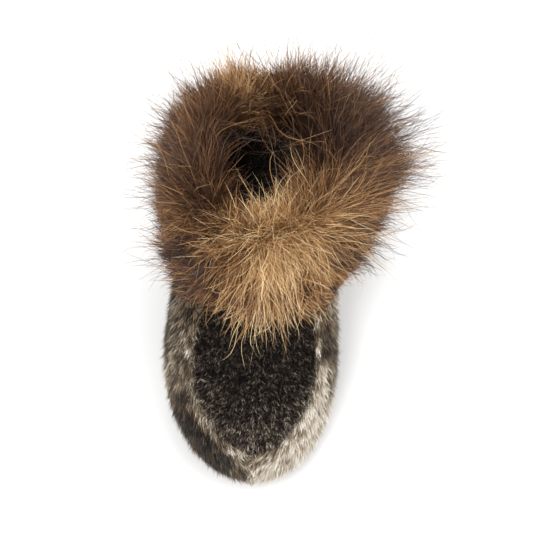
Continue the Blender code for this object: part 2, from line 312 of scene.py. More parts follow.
def suede_finish():
    made, start, shader = new_finish("sole_suede", 0.92)
    place = start.node("ShaderNodeTexCoord", output="Object")
    mottle = place.noise(scale=45, detail=3)
    nap = place.noise(scale=900, detail=3, roughness=0.7)
    rubbed = place.noise(scale=12)
    colour = mottle.ramp((0.3, rgb(92, 70, 52)), (0.7, rgb(124, 98, 74)))
    colour = colour.blend(nap.ramp((0.3, rgb(70, 54, 42)), (0.7, rgb(150, 122, 96))), 0.35)
    colour = colour.blend(rgb(84, 66, 52), rubbed.ramp((0.5, (0, 0, 0, 1)), (0.7, (0.6, 0.6, 0.6, 1))))
    feed(shader, "Base Color", colour)
    shader.inputs["Sheen Weight"].default_value = 0.2
    roughen(shader, nap, strength=0.5, distance=0.0004)
    return made


def suede_relief(point):
    return SUEDE_RELIEF * noise.noise(point / SUEDE_RELIEF_SIZE)


SOLE_LAYERS = [
    (SOLE_INSET + SOLE_EDGE_ROUND * (1 - math.sin(angle)), SOLE_EDGE_ROUND * (1 - math.cos(angle)))
    for angle in np.linspace(0, math.pi / 2, SOLE_EDGE_STEPS)
]
SOLE_LAYERS += [(SOLE_INSET, SOLE_THICKNESS * SOLE_EDGE_TOP), (SOLE_INSET + SOLE_TOP_TUCK, SOLE_THICKNESS)]
outsole = plate("outsole_suede", SOLE_LAYERS, SOLE_HALF_STEPS, SOLE_ACROSS, suede_relief)
outsole.data.materials.append(suede_finish())
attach(outsole, "root")
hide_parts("outsole")


# The skins are the upper's outside: a round plug over the toe and the instep, and two side skins that meet
# in a seam at the toe. They are sealskin-like hides, sewn flesh side in, so each seam is drawn in a little.

WALL = 0.0035
WALL_SWELL = 0.003
SEAM_DEPTH = 0.0014
SEAM_SPREAD = 0.0022
SEAM_BLEND = 0.0016
END_SEAM_SHARE = 0.7
PLUG_TIP_LEVEL = 4.3
PLUG_TIP_SLOPE = 4.0
PLUG_HALF_TURN = 0.245
PLUG_CORNER = 0.005
LEVEL_RISE = 0.008
TURN_WAY = 0.30
COLLAR_FRONT_HEIGHT = 0.086
COLLAR_BACK_HEIGHT = 0.090
COLLAR_WIDTH = 0.084
COLLAR_LENGTH = 0.106
COLLAR_BEFORE_HEEL_BACK = 0.010
COLLAR_INWARD = 0.0015
SKIN_THICKNESS = 0.0015
SKIN_HALF_STEPS = 120
SKIN_LEVEL_STEP = 0.20

Section = collections.namedtuple(
    "Section", "name toe_travel toe_rise side_travel side_rise heel_travel heel_rise swell"
)
SECTIONS = (
    Section("sole_edge", 0.000, 0.00, 0.00, 0.00, 0.00, 0.00, -1.0),
    Section("low_wall", 0.000, 0.08, 0.00, 0.10, -0.05, 0.11, -0.1),
    Section("wall", 0.002, 0.17, 0.00, 0.22, -0.10, 0.22, 0.0),
    Section("shoulder", 0.015, 0.26, 0.02, 0.36, -0.05, 0.33, 0.0),
    Section("plug_seam", 0.045, 0.33, 0.10, 0.49, 0.10, 0.43, 0.0),
    Section("toe_crown", 0.110, 0.42, 0.22, 0.60, 0.30, 0.53, 0.0),
    Section("low_vamp", 0.230, 0.52, 0.36, 0.70, 0.50, 0.62, 0.0),
    Section("vamp", 0.400, 0.62, 0.51, 0.78, 0.66, 0.72, 0.0),
    Section("instep", 0.600, 0.72, 0.67, 0.85, 0.80, 0.82, 0.0),
    Section("throat", 0.820, 0.84, 0.84, 0.92, 0.92, 0.91, 0.0),
    Section("rim", 1.000, 1.00, 1.00, 1.00, 1.00, 1.00, 0.0),
)
RIM_LEVEL = len(SECTIONS) - 1

# Soft creases where the hide gives when a foot goes in. size is in turns and in levels, and depth in metres.
Crease = collections.namedtuple("Crease", "turn level turn_size level_size depth")
CREASES = (
    Crease(0.46, 2.6, 0.035, 1.6, 0.0016),
    Crease(-0.47, 2.4, 0.030, 1.5, 0.0014),
    Crease(0.60, 3.2, 0.040, 1.8, 0.0012),
    Crease(-0.62, 3.0, 0.035, 1.7, 0.0012),
    Crease(0.05, 5.6, 0.120, 0.5, 0.0010),
    Crease(0.82, 2.0, 0.030, 1.6, 0.0010),
)


def collar(turn):
    """A point on the outer edge of the collar's rim."""
    angle = math.pi * turn
    middle_y = HEEL_BEHIND - COLLAR_BEFORE_HEEL_BACK - COLLAR_LENGTH / 2
    x = COLLAR_WIDTH / 2 * math.sin(angle) - COLLAR_INWARD
    y = middle_y - COLLAR_LENGTH / 2 * math.cos(angle)
    back = (1 - math.cos(angle)) / 2
    return Vector((x, y, COLLAR_FRONT_HEIGHT + (COLLAR_BACK_HEIGHT - COLLAR_FRONT_HEIGHT) * back))


def skin(turn, level):
    """A point on the upper's outer face, without its seams and creases."""
    row = through([section[1:] for section in SECTIONS], level)
    toe_travel, toe_rise, side_travel, side_rise, heel_travel, heel_rise, swell = row
    travel = between(turn, toe_travel, side_travel, heel_travel)
    rise = between(turn, toe_rise, side_rise, heel_rise)
    foot = inset_plan(turn, -WALL_SWELL * swell)
    rim = collar(turn)
    floor = ground(foot.y) + SOLE_THICKNESS + GAP
    place = foot.lerp(rim.xy, travel)
    return Vector((place.x, place.y, floor + (rim.z - floor) * rise))


def skin_normal(turn, level):
    turn = min(max(turn, TURN_STEP - 1), 1 - TURN_STEP)
    round_foot = skin(turn + TURN_STEP, level) - skin(turn - TURN_STEP, level)
    up = skin(turn, min(level + TURN_STEP, RIM_LEVEL)) - skin(turn, max(level - TURN_STEP, 0))
    return round_foot.cross(up).normalized()


def bell(distance, size):
    return math.exp(-((distance / size) ** 2))


def inside_plug(turn, level):
    """How far inside the plug's seam a place is, in metres, and negative on the side skins."""
    over_tip = (level - PLUG_TIP_LEVEL - PLUG_TIP_SLOPE * abs(turn)) * LEVEL_RISE
    from_side = (PLUG_HALF_TURN - abs(turn)) * TURN_WAY
    nearer, other = sorted((over_tip, from_side))
    return nearer - PLUG_CORNER * math.log1p(math.exp((nearer - other) / PLUG_CORNER))


def drawn_in(turn, level):
    """How far the seams and creases pull the skins in."""
    seam = inside_plug(turn, level)
    depth = SEAM_DEPTH * bell(seam, SEAM_SPREAD)
    if seam < 0:
        from_toe, from_heel = turn * TURN_WAY, (1 - abs(turn)) * TURN_WAY
        depth += SEAM_DEPTH * END_SEAM_SHARE * (bell(from_toe, SEAM_SPREAD) + bell(from_heel, SEAM_SPREAD))
    for crease in CREASES:
        across = bell(turn - crease.turn, crease.turn_size)
        depth += crease.depth * across * bell(level - crease.level, crease.level_size)
    return depth


# The hides' markings: tone is 0 for the near-black hairs and 1 for the cream ones. Each mark is an oval that
# blends into its neighbours, so a strong one is given a tone below 0 or above 1.
Mark = collections.namedtuple("Mark", "turn level turn_size level_size tone")
SIDE_TONE = 0.40
SIDE_TONE_WEIGHT = 0.25
SIDE_MARKS = (
    Mark(0.03, 3.0, 0.050, 1.4, 0.95),
    Mark(0.13, 3.0, 0.070, 1.6, 1.12),
    Mark(0.20, 2.4, 0.050, 1.6, 1.25),
    Mark(0.06, 4.2, 0.035, 0.5, 0.30),
    Mark(0.27, 4.3, 0.030, 0.9, 1.00),
    Mark(0.29, 2.0, 0.050, 1.2, 1.05),
    Mark(0.25, 5.6, 0.035, 0.8, 0.84),
    Mark(0.33, 5.0, 0.035, 0.9, 0.20),
    Mark(0.30, 6.2, 0.030, 0.6, 0.28),
    Mark(0.37, 5.9, 0.030, 0.6, 0.66),
    Mark(0.43, 4.4, 0.040, 1.2, 0.60),
    Mark(0.40, 2.4, 0.040, 1.3, 0.30),
    Mark(0.52, 2.0, 0.040, 1.4, 0.78),
    Mark(0.60, 4.2, 0.045, 1.2, 0.26),
    Mark(0.68, 2.0, 0.045, 1.3, 0.22),
    Mark(0.77, 4.0, 0.045, 1.2, 0.74),
    Mark(0.86, 1.8, 0.050, 1.4, 0.60),
    Mark(0.95, 3.8, 0.050, 1.3, 0.24),
    Mark(-0.175, 4.8, 0.035, 0.24, 0.56),
    Mark(-0.13, 4.6, 0.030, 0.22, 0.60),
    Mark(-0.08, 4.3, 0.030, 0.26, 0.56),
    Mark(-0.045, 3.3, 0.020, 0.8, 0.36),
    Mark(-0.03, 1.6, 0.030, 1.2, 0.34),
    Mark(-0.11, 2.5, 0.050, 1.2, -0.08),
    Mark(-0.18, 2.7, 0.050, 1.2, -0.12),
    Mark(-0.25, 2.8, 0.050, 1.2, -0.02),
    Mark(-0.25, 4.3, 0.020, 0.4, 0.12),
    Mark(-0.28, 5.3, 0.035, 0.9, 0.50),
    Mark(-0.34, 4.0, 0.035, 1.2, 0.56),
    Mark(-0.38, 1.8, 0.045, 1.2, 0.66),
    Mark(-0.44, 4.2, 0.045, 1.3, 0.18),
    Mark(-0.53, 2.2, 0.050, 1.4, 0.30),
    Mark(-0.60, 4.4, 0.040, 1.2, 0.72),
    Mark(-0.69, 2.0, 0.050, 1.4, 0.76),
    Mark(-0.78, 3.8, 0.045, 1.3, 0.22),
    Mark(-0.88, 2.0, 0.050, 1.4, 0.32),
)
SEAM_MARK = 0.04
SEAM_MARK_PLACE = 0.002
SEAM_MARK_WIDTH = 0.0025
PLUG_TOP_TONE = 0.03
PLUG_TOE_TONE = 0.37
PLUG_TONE_LEVELS = 2.6
PLUG_EVENNESS = 0.8
MOTTLE = 0.30
MOTTLE_SIZE = 0.010
STREAK = 0.38
STREAK_LENGTH = 0.016
STREAK_WIDTH = 0.0035


def side_tone(turn, level):
    """The tone of the side skins."""
    total, weights = SIDE_TONE * SIDE_TONE_WEIGHT, SIDE_TONE_WEIGHT
    for mark in SIDE_MARKS:
        weight = bell(turn - mark.turn, mark.turn_size) * bell(level - mark.level, mark.level_size)
        total += mark.tone * weight
        weights += weight
    return total / weights + bell(inside_plug(turn, level) + SEAM_MARK_PLACE, SEAM_MARK_WIDTH) * SEAM_MARK


def plug_tone(level):
    share = eased((level - PLUG_TIP_LEVEL) / PLUG_TONE_LEVELS)
    return PLUG_TOE_TONE + (PLUG_TOP_TONE - PLUG_TOE_TONE) * share


def on_plug(turn, level):
    """1 on the plug, 0 on the side skins, with a soft change across the seam."""
    return eased(inside_plug(turn, level) / SEAM_BLEND + 0.5)


def cloudy(place, octaves=2):
    """Soft cloudy noise about 0."""
    return noise.fractal(place, 0.6, 2.0, octaves)


def shell(name, outer, inner, count, values=None):
    """A closed wall between an outer and an inner face, each given ring by ring, from the bottom up."""
    inner_rings = [inner[first : first + count] for first in range(0, len(inner), count)]
    points = outer + [point for ring in inner_rings[::-1] for point in ring]
    return made_object(name, points, bands(2 * len(inner_rings), count, closed=True), values)


skin_turns = turns(SKIN_HALF_STEPS)
skin_levels = np.arange(0, RIM_LEVEL + SKIN_LEVEL_STEP / 2, SKIN_LEVEL_STEP)
skin_outside, skin_inside, skin_tones = [], [], []
for level in skin_levels:
    for turn in skin_turns:
        normal, depth = skin_normal(turn, level), drawn_in(turn, level)
        skin_outside.append(skin(turn, level) - normal * depth)
        skin_inside.append(skin(turn, level) - normal * (depth + SKIN_THICKNESS))
        plug = on_plug(turn, level)
        tone = plug_tone(level) * plug + side_tone(turn, level) * (1 - plug)
        side_share = 1 - PLUG_EVENNESS * plug
        tone += MOTTLE * side_share * cloudy(skin_outside[-1] / MOTTLE_SIZE, 3)
        streak = Vector((turn * TURN_WAY / STREAK_LENGTH, level * LEVEL_RISE / STREAK_WIDTH, plug))
        tone += STREAK * side_share * cloudy(streak)
        skin_tones.append(min(1.0, max(0.0, tone)))


def tone_stops(*colours):
    """Ramp stops spread evenly over the tones."""
    return [(index / (len(colours) - 1), colour) for index, colour in enumerate(colours)]


HIDE_ROOTS = (rgb(4, 3, 3), rgb(20, 16, 14), rgb(58, 48, 37), rgb(120, 104, 84), rgb(234, 224, 208))
HIDE_TIPS = (rgb(36, 29, 25), rgb(99, 83, 69), rgb(158, 134, 104), rgb(218, 200, 170), rgb(255, 251, 242))


def hide_finish():
    """The hide under its hair, a little darker than the roots."""
    made, start, shader = new_finish("hide", 0.8)
    tone = start.node("ShaderNodeAttribute", {"attribute_name": "tone"}, output="Fac")
    grain = start.node("ShaderNodeTexCoord", output="Object").noise(scale=700)
    colour = tone.ramp(*tone_stops(*HIDE_ROOTS)).blend(rgb(30, 25, 22), grain * 0.5)
    feed(shader, "Base Color", colour)
    roughen(shader, grain, strength=0.4, distance=0.0003)
    return made


skin_count = len(skin_turns)
inside_tones = np.reshape(skin_tones, (-1, skin_count))[::-1].ravel()
both_tones = {"tone": np.concatenate([skin_tones, inside_tones])}
skins = shell("skins", skin_outside, skin_inside, skin_count, both_tones)
skins.data.materials.append(hide_finish())
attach(skins, "root")
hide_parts("upper")


# The sole is whip-stitched to the skins with waxed sinew. Each stitch climbs from the sole's edge over the
# joint and into the hide, and all of them lean the same way.

STITCH_SPACING = 0.0044
STITCH_LENGTH = 0.0054
STITCH_LEAN = 0.0020
STITCH_BOW = 0.0007
STITCH_STEPS = 6
THREAD = 0.0010
THREAD_SIDES = 6
STITCH_ON_SOLE = 0.0022
STITCH_ON_SKIN = 0.40
STITCH_STAND = 0.2
STITCH_END = 0.75
STITCH_INPUTS = (
    ("Path", "NodeSocketGeometry", None),
    ("Stitch", "NodeSocketObject", None),
    ("Thread", "NodeSocketMaterial", None),
    ("Spacing", "NodeSocketFloat", 0.004),
)


def new_tree(name, inputs, output):
    """A Geometry Nodes tree with named inputs and one output, and a wire to build it with."""
    tree = bpy.data.node_groups.new(name, "GeometryNodeTree")
    for title, kind, default in inputs:
        socket = tree.interface.new_socket(name=title, in_out="INPUT", socket_type=kind)
        if default is not None:
            socket.default_value = default
    tree.interface.new_socket(name=output, in_out="OUTPUT", socket_type="NodeSocketGeometry")
    return tree, Wire(tree)


def stitch_tree():
    """Sets stitches along a path. The path's value out is the way each of them faces."""
    tree, begin = new_tree("whip_stitches", STITCH_INPUTS, "Stitches")
    given = begin.node("NodeGroupInput")
    path = begin.node("GeometryNodeMeshToCurve", {}, {"Mesh": given.of("Path")})
    spaced = {"Curve": path, "Length": given.of("Spacing")}
    path = begin.node("GeometryNodeResampleCurve", {"mode": "LENGTH"}, spaced)
    facing = {"data_type": "FLOAT_VECTOR"}
    out = begin.node("GeometryNodeInputNamedAttribute", facing, {"Name": "out"}, "Attribute")
    axes = {"Primary Axis": out, "Secondary Axis": begin.node("GeometryNodeInputTangent")}
    turned = begin.node("FunctionNodeAxesToRotation", {"primary_axis": "Z", "secondary_axis": "X"}, axes)
    shape = begin.node("GeometryNodeObjectInfo", {}, {"Object": given.of("Stitch")}, "Geometry")
    places = {"Points": path, "Instance": shape, "Rotation": turned}
    stitches = begin.node("GeometryNodeInstanceOnPoints", {}, places)
    stitches = begin.node("GeometryNodeRealizeInstances", {}, {"Geometry": stitches})
    thread = {"Geometry": stitches, "Material": given.of("Thread")}
    begin.node("NodeGroupOutput", {}, {"Stitches": begin.node("GeometryNodeSetMaterial", {}, thread)})
    return tree


def set_inputs(modifier, values):
    """Sets a Geometry Nodes modifier's inputs by name."""
    for item in modifier.node_group.interface.items_tree:
        if item.in_out == "INPUT" and item.name in values:
            modifier[item.identifier] = values.pop(item.name)
    assert not values, f"no such inputs: {sorted(values)}"


def settled(name, source, tree, values):
    """An object with the plain mesh that a tree makes of a source mesh."""
    carrier = bpy.data.objects.new(name + "_source", source)
    bpy.context.scene.collection.objects.link(carrier)
    modifier = carrier.modifiers.new("tree", "NODES")
    modifier.node_group = tree
    set_inputs(modifier, values)
    graph = bpy.context.evaluated_depsgraph_get()
    mesh = bpy.data.meshes.new_from_object(carrier.evaluated_get(graph))
    bpy.data.objects.remove(carrier)
    mesh.name = name
    mesh.shade_smooth()
    made = bpy.data.objects.new(name, mesh)
    bpy.context.scene.collection.objects.link(made)
    return made


def stitch_shape():
    """One stitch: a bowed thread that runs up along Y and leans along X."""
    points = []
    for step in range(STITCH_STEPS + 1):
        share = step / STITCH_STEPS
        bow = math.sin(math.pi * share)
        radius = THREAD / 2 * (STITCH_END + (1 - STITCH_END) * bow)
        middle = Vector(((share - 0.5) * STITCH_LEAN, (share - 0.5) * STITCH_LENGTH, STITCH_BOW * bow))
        for side in range(THREAD_SIDES):
            angle = 2 * math.pi * side / THREAD_SIDES
            points.append(middle + Vector((math.cos(angle), 0, -math.sin(angle))) * radius)
    caps = [tuple(reversed(range(THREAD_SIDES))), tuple(range(STITCH_STEPS * THREAD_SIDES, len(points)))]
    return made_object("stitch", points, bands(STITCH_STEPS + 1, THREAD_SIDES) + caps)


def sinew_finish():
    made, start, shader = new_finish("sinew_thread", 0.5)
    place = start.node("ShaderNodeTexCoord", output="Object")
    fibres = place.noise(scale=1400, roughness=0.6)
    wear = place.noise(scale=60).ramp((0.45, (0, 0, 0, 1)), (0.7, (0.7, 0.7, 0.7, 1)))
    colour = fibres.ramp((0.3, rgb(132, 108, 76)), (0.7, rgb(206, 184, 146)))
    feed(shader, "Base Color", colour.blend(rgb(104, 82, 58), wear))
    roughen(shader, fibres, strength=0.4, distance=0.0002)
    return made


stitch_points, stitch_ways = [], []
for turn in skin_turns:
    foot = inset_plan(turn, SOLE_INSET)
    low, high = Vector((foot.x, foot.y, ground(foot.y) + STITCH_ON_SOLE)), skin(turn, STITCH_ON_SKIN)
    along = skin(min(turn + TURN_STEP, 1), STITCH_ON_SKIN) - skin(max(turn - TURN_STEP, -1), STITCH_ON_SKIN)
    way = along.cross(high - low).normalized()
    stitch_points.append((low + high) / 2 + way * THREAD * STITCH_STAND)
    stitch_ways.append(way)
stitch_edges = [(step, (step + 1) % skin_count) for step in range(skin_count)]
stitch_path = made_object("stitch_path", stitch_points, [], {"out": stitch_ways}, stitch_edges)
stitch = stitch_shape()
stitching = {"Stitch": stitch, "Thread": sinew_finish(), "Spacing": STITCH_SPACING}
sole_stitches = settled("sole_stitches", stitch_path.data, stitch_tree(), stitching)
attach(sole_stitches, "root")
for tool in (stitch, stitch_path):
    bpy.data.objects.remove(tool)


# The hair of the skins is short and sleek. It grows out of the hide, leans towards the toe and the floor,
# and stands up more on the plug, where its pale tips show as specks over dark roots. The pale specks are
# partly painted sheen on the tips, and the dark roots partly painted shade among the hairs.

# A kind of hair. It bends in so many segments, and the densities are counts per square metre. shortest is its
# share of the full length, and the higher rarity is, the fewer hairs are long.
Hair = collections.namedtuple(
    "Hair",
    "segments density width shortest rarity scatter curve lock_density lock_pull lock_scatter wave roll"
    " tone_spread lock_tone_spread",
)
HAIR_INPUTS = (
    ("pelt", "NodeSocketGeometry", None),
    ("strand", "NodeSocketObject", None),
    ("finish", "NodeSocketMaterial", None),
    *[(size, "NodeSocketFloat", 0.0) for size in Hair._fields[1:]],
    ("room_from", "NodeSocketVector", (-1.0, -1.0, -1.0)),
    ("room_to", "NodeSocketVector", (1.0, 1.0, 1.0)),
    ("seed", "NodeSocketInt", 1),
)

# Hairs bend where they would leave the room given to them, and reach past it by less than this.
ROOM_GIVE = 0.009
HAIR_NOTES = "root start finish facing pull sway hair tone cover grow bend loose".split()
LEAST_PULL = 0.3
LATE_PULL = 1.4
SWAY_TURN = 7.0
HAIR_WIDTH_AT_ROOT = 0.7
HAIR_SWELL = 0.6
HAIR_TAPER = 0.6


def hair_tree():
    """Grows hairs from a pelt. The pelt's own values say how: grow is a hair's way out, bend turns its tip,
    hair is its length, cover thins it out, loose scatters it and tone colours it."""
    tree, begin = new_tree("hair", HAIR_INPUTS, "Hair")
    given = begin.node("NodeGroupInput")
    pelt, seed = given.of("pelt"), given.of("seed")

    def noted(name, kind="FLOAT_VECTOR"):
        return begin.node("GeometryNodeInputNamedAttribute", {"data_type": kind}, {"Name": name}, "Attribute")

    def note(points, name, value, kind="FLOAT_VECTOR", domain="POINT"):
        settings = {"data_type": kind, "domain": domain}
        inputs = {"Geometry": points, "Name": name, "Value": value}
        return begin.node("GeometryNodeStoreNamedAttribute", settings, inputs)

    def chance(low, high, salt):
        inputs = {"Min": low, "Max": high, "Seed": seed + salt}
        return begin.node("FunctionNodeRandomValue", {"data_type": "FLOAT"}, inputs)

    def jitter(salt):
        inputs = {"Min": (-1.0, -1.0, -1.0), "Max": (1.0, 1.0, 1.0), "Seed": seed + salt}
        return begin.node("FunctionNodeRandomValue", {"data_type": "FLOAT_VECTOR"}, inputs)

    def sown(density, salt):
        settings = {"distribute_method": "RANDOM"}
        inputs = {"Mesh": pelt, "Density": density * noted("cover", "FLOAT"), "Seed": seed + salt}
        return begin.node("GeometryNodeDistributePointsOnFaces", settings, inputs, "Points")

    def pressed(excess):
        """How much of an excess is left where hairs press against the edge of their room."""
        return excess.scaled(ROOM_GIVE).maths("DIVIDE", excess + (ROOM_GIVE, ROOM_GIVE, ROOM_GIVE))

    place = begin.node("GeometryNodeInputPosition")
    roots = sown(given.of("density"), 0)
    normal = roots.of("Normal")
    locks = sown(given.of("lock_density"), 1)
    search = {"Geometry": locks, "Sample Position": place}
    nearest = begin.node("GeometryNodeSampleNearest", {"domain": "POINT"}, search)

    def of_lock(value, kind="FLOAT_VECTOR"):
        inputs = {"Geometry": locks, "Value": value, "Index": nearest}
        return begin.node("GeometryNodeSampleIndex", {"data_type": kind, "domain": "POINT"}, inputs)

    scatter = given.of("scatter") * noted("loose", "FLOAT")
    with_lock = of_lock(jitter(3)) * given.of("lock_scatter")
    start = (noted("grow") + jitter(2) * scatter + with_lock).maths("NORMALIZE")
    finish = (start + noted("bend") + jitter(4) * (scatter + given.of("curve"))).maths("NORMALIZE")
    shortest = given.of("shortest")
    length = chance(0.0, 1.0, 5) ** given.of("rarity") * (1 - shortest) + shortest
    length = length * noted("hair", "FLOAT")
    tone = noted("tone", "FLOAT") + chance(-1.0, 1.0, 6) * given.of("tone_spread")
    tone = (tone + of_lock(chance(-1.0, 1.0, 7), "FLOAT") * given.of("lock_tone_spread")).clamped()
    facing = (normal + jitter(8) * given.of("roll")).maths("NORMALIZE")
    pull = (of_lock(place) - place) * (given.of("lock_pull") * chance(LEAST_PULL, 1.0, 9))
    sway = jitter(10) * given.of("wave")
    points = note(roots, "root", place)
    ways = {"start": start, "finish": finish, "facing": facing, "pull": pull, "sway": sway}
    for name, value in ways.items():
        points = note(points, name, value)
    points = note(points, "hair", length, "FLOAT")
    points = note(points, "tone", tone, "FLOAT")
    strand = begin.node("GeometryNodeObjectInfo", {}, {"Object": given.of("strand")}, "Geometry")
    hairs = begin.node("GeometryNodeInstanceOnPoints", {}, {"Points": points, "Instance": strand})
    hairs = begin.node("GeometryNodeRealizeInstances", {}, {"Geometry": hairs})

    local = place - noted("root")
    parts = begin.node("ShaderNodeSeparateXYZ", {}, {"Vector": local})
    side, along = parts.of("X"), parts.of("Z")
    uv = begin.node("ShaderNodeCombineXYZ", {}, {"X": noted("tone", "FLOAT"), "Y": along})
    hairs = note(hairs, "OFBake", uv, "FLOAT2", "CORNER")
    turned = along * along * 0.5
    way = noted("start") * (1 - along) + noted("finish") * along
    middle = noted("start") * (along - turned) + noted("finish") * turned
    middle = middle + noted("sway") * ((along * SWAY_TURN).maths("SINE") * along)
    middle = noted("root") + middle * noted("hair", "FLOAT") + noted("pull") * (along**LATE_PULL)
    across = way.maths("CROSS_PRODUCT", noted("facing")).maths("NORMALIZE")
    bent = middle + across * (side * given.of("width"))
    over = (bent - given.of("room_to")).maths("MAXIMUM", (0, 0, 0))
    under = (given.of("room_from") - bent).maths("MAXIMUM", (0, 0, 0))
    bent = bent - over + pressed(over) + under - pressed(under)
    hairs = begin.node("GeometryNodeSetPosition", {}, {"Geometry": hairs, "Position": bent})
    hairs = begin.node("GeometryNodeSetMaterial", {}, {"Geometry": hairs, "Material": given.of("finish")})
    begin.node("NodeGroupOutput", {}, {"Hair": hairs})
    return tree


hair_growth = hair_tree()


def strand_shape(segments):
    """A flat hair from root to tip along Z, one unit long and wide. Growing bends it into place."""
    points, faces = [], []
    for step in range(segments):
        share = step / segments
        half = 0.5 * (1 - share**2) ** HAIR_TAPER * (HAIR_WIDTH_AT_ROOT + HAIR_SWELL * share)
        points += [(-half, 0, share), (half, 0, share)]
    points.append((0, 0, 1))
    for step in range(segments - 1):
        low = 2 * step
        faces.append((low, low + 1, low + 3, low + 2))
    faces.append((2 * segments - 2, 2 * segments - 1, 2 * segments))
    return made_object(f"strand_of_{segments}", points, faces)


STRANDS = {segments: strand_shape(segments) for segments in (2, 3, 6, 9)}


def grown(name, pelt, finish, hair, seed, **room):
    """The hairs that grow on a pelt."""
    segments, *sizes = hair
    values = dict(zip(Hair._fields[1:], sizes), strand=STRANDS[segments], finish=finish, seed=seed, **room)
    made = settled(name, pelt.data, hair_growth, values)
    for note in HAIR_NOTES:
        if note in made.data.attributes:
            made.data.attributes.remove(made.data.attributes[note])
    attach(made, "root")
    return made


def hair_finish(name, roots, tips, roughness, paling):
    """Hair coloured by its tone, along U, and from root to tip, along V. A high paling is a late one."""
    made, start, shader = new_finish(name, roughness)
    place = start.node("ShaderNodeUVMap", {"uv_map": "OFBake"})
    spot = start.node("ShaderNodeSeparateXYZ", {}, {"Vector": place})
    tone, along = spot.of("X"), spot.of("Y")
    root, tip = tone.ramp(*tone_stops(*roots)), tone.ramp(*tone_stops(*tips))
    # Painted shade and light: the roots are darker partly for the shade deep among the hairs, and the tips
    # paler partly for the light shining on and through them.
    feed(shader, "Base Color", root.blend(tip, along**paling))
    shader.inputs["Specular IOR Level"].default_value = 0.35
    return made


PLUG_HAIR = 0.0054
PLUG_LIFT = 66
SIDE_HAIR = 0.0090
SIDE_LIFT = 28
HAIR_UNDER_CUFF = 1.2
PLUG_LIE = Vector((0.0, -1.0, -0.45))
SIDE_FALL = 0.45
SIDE_HAIR_AT_SOLE = 0.35
HAIR_OVER_STITCHES = 0.5
HAIR_EDGE_LEVELS = 0.3
SOLE_HAIR_LEVELS = 1.5
TOE_PARTING = 0.03
SHORT_OF_HEEL = 0.99
SHORT_HAIR_BEND = 0.15


def short_hair_values(region):
    """How the hair of one region of the skins grows. On the side skins it runs forward to the toe seam."""
    grow, length, cover = [], [], []
    for level in skin_levels:
        for turn in skin_turns:
            normal, plug = skin_normal(turn, level), on_plug(turn, level)
            here = turn * SHORT_OF_HEEL
            forward = skin(here, level) - skin(here + math.copysign(TURN_STEP, turn), level)
            side_lie = forward.normalized() * eased(abs(turn) / TOE_PARTING) + Vector((0, 0, -SIDE_FALL))
            lie = PLUG_LIE * plug + side_lie * (1 - plug)
            lie = (lie - normal * lie.dot(normal)).normalized()
            lift = math.radians(PLUG_LIFT * plug + SIDE_LIFT * (1 - plug))
            grow.append(lie * math.cos(lift) + normal * math.sin(lift))
            sole = SIDE_HAIR_AT_SOLE + (1 - SIDE_HAIR_AT_SOLE) * eased(level / SOLE_HAIR_LEVELS)
            length.append(PLUG_HAIR * plug + SIDE_HAIR * sole * (1 - plug))
            hidden = level > between(turn, *CUFF_HEMS) + HAIR_UNDER_CUFF
            share = plug if region == "plug" else (1 - plug) * (turn < 0 if region == "inner" else turn >= 0)
            over_stitches = eased((level - HAIR_OVER_STITCHES) / HAIR_EDGE_LEVELS + 0.5)
            cover.append(0.0 if hidden else share * over_stitches)
    even = {"bend": [(0, 0, -SHORT_HAIR_BEND)] * len(grow), "loose": [1.0] * len(grow)}
    return {"grow": grow, "hair": length, "cover": cover, "tone": skin_tones, **even}


CUFF_HEMS = (8.6, 6.4, 5.8)
PLUG_COAT = Hair(2, 4.2e6, 0.00045, 0.5, 1.0, 0.36, 0.0, 9e5, 0.35, 0.16, 0.0, 0.5, 0.44, 0.40)
SIDE_COAT = Hair(2, 2.5e6, 0.00045, 0.5, 1.0, 0.26, 0.0, 2e5, 0.35, 0.16, 0.0, 0.5, 0.32, 0.24)
PLUG_TIPS = (rgb(34, 28, 25), rgb(90, 77, 69), rgb(146, 130, 116), rgb(198, 185, 167), rgb(240, 234, 222))
side_short_hair = hair_finish("side_short_hair", HIDE_ROOTS, HIDE_TIPS, 0.5, 1.8)
plug_short_hair = hair_finish("plug_short_hair", HIDE_ROOTS, PLUG_TIPS, 0.5, 1.8)
for region, finish, coat, seed in (
    ("plug", plug_short_hair, PLUG_COAT, 11),
    ("inner", side_short_hair, SIDE_COAT, 12),
    ("outer", side_short_hair, SIDE_COAT, 13),
):
    values = short_hair_values(region)
    pelt = made_object(region + "_pelt", skin_outside, bands(len(skin_levels), skin_count), values)
    hairs = grown(region + "_short_hair", pelt, finish, coat, seed)
    bpy.data.objects.remove(pelt)


# The lining is fleece, sewn to the skins at the collar and at the sole, and coloured near black as painted
# shade for the inside of the opening. The insole is the same fleece on a soft board, and both are brushed to
# a short curly pile.

LINING_DEPTH = 0.0016
PILE_RELIEF = 0.0005
PILE_RELIEF_SIZE = 0.0035
LINING_HALF_STEPS = 80
LINING_LEVELS = np.arange(0.1, RIM_LEVEL + 0.01, 0.3)
LINING_PILE = Hair(3, 2.6e5, 0.0007, 0.6, 1.0, 0.7, 0.0, 1.5e5, 0.6, 0.4, 0.1, 1.0, 0.3, 0.2)
LINING_PILE_LENGTH = 0.0035
INSOLE_THICKNESS = 0.005
INSOLE_ROOM = 0.0006
INSOLE_EDGE_ROUND = 0.0012
INSOLE_EDGE_TUCK = 0.0004
INSOLE_HALF_STEPS = 60
INSOLE_ACROSS = 20
INSOLE_PILE = LINING_PILE._replace(density=4.5e5)
INSOLE_PILE_LENGTH = 0.003
# The pile is kept dark in the same way, as painted shade for the inside of the opening.
FLEECE_ROOTS = (rgb(16, 13, 11), rgb(44, 37, 31), rgb(76, 65, 55))
FLEECE_TIPS = (rgb(56, 48, 40), rgb(116, 100, 84), rgb(178, 156, 130))


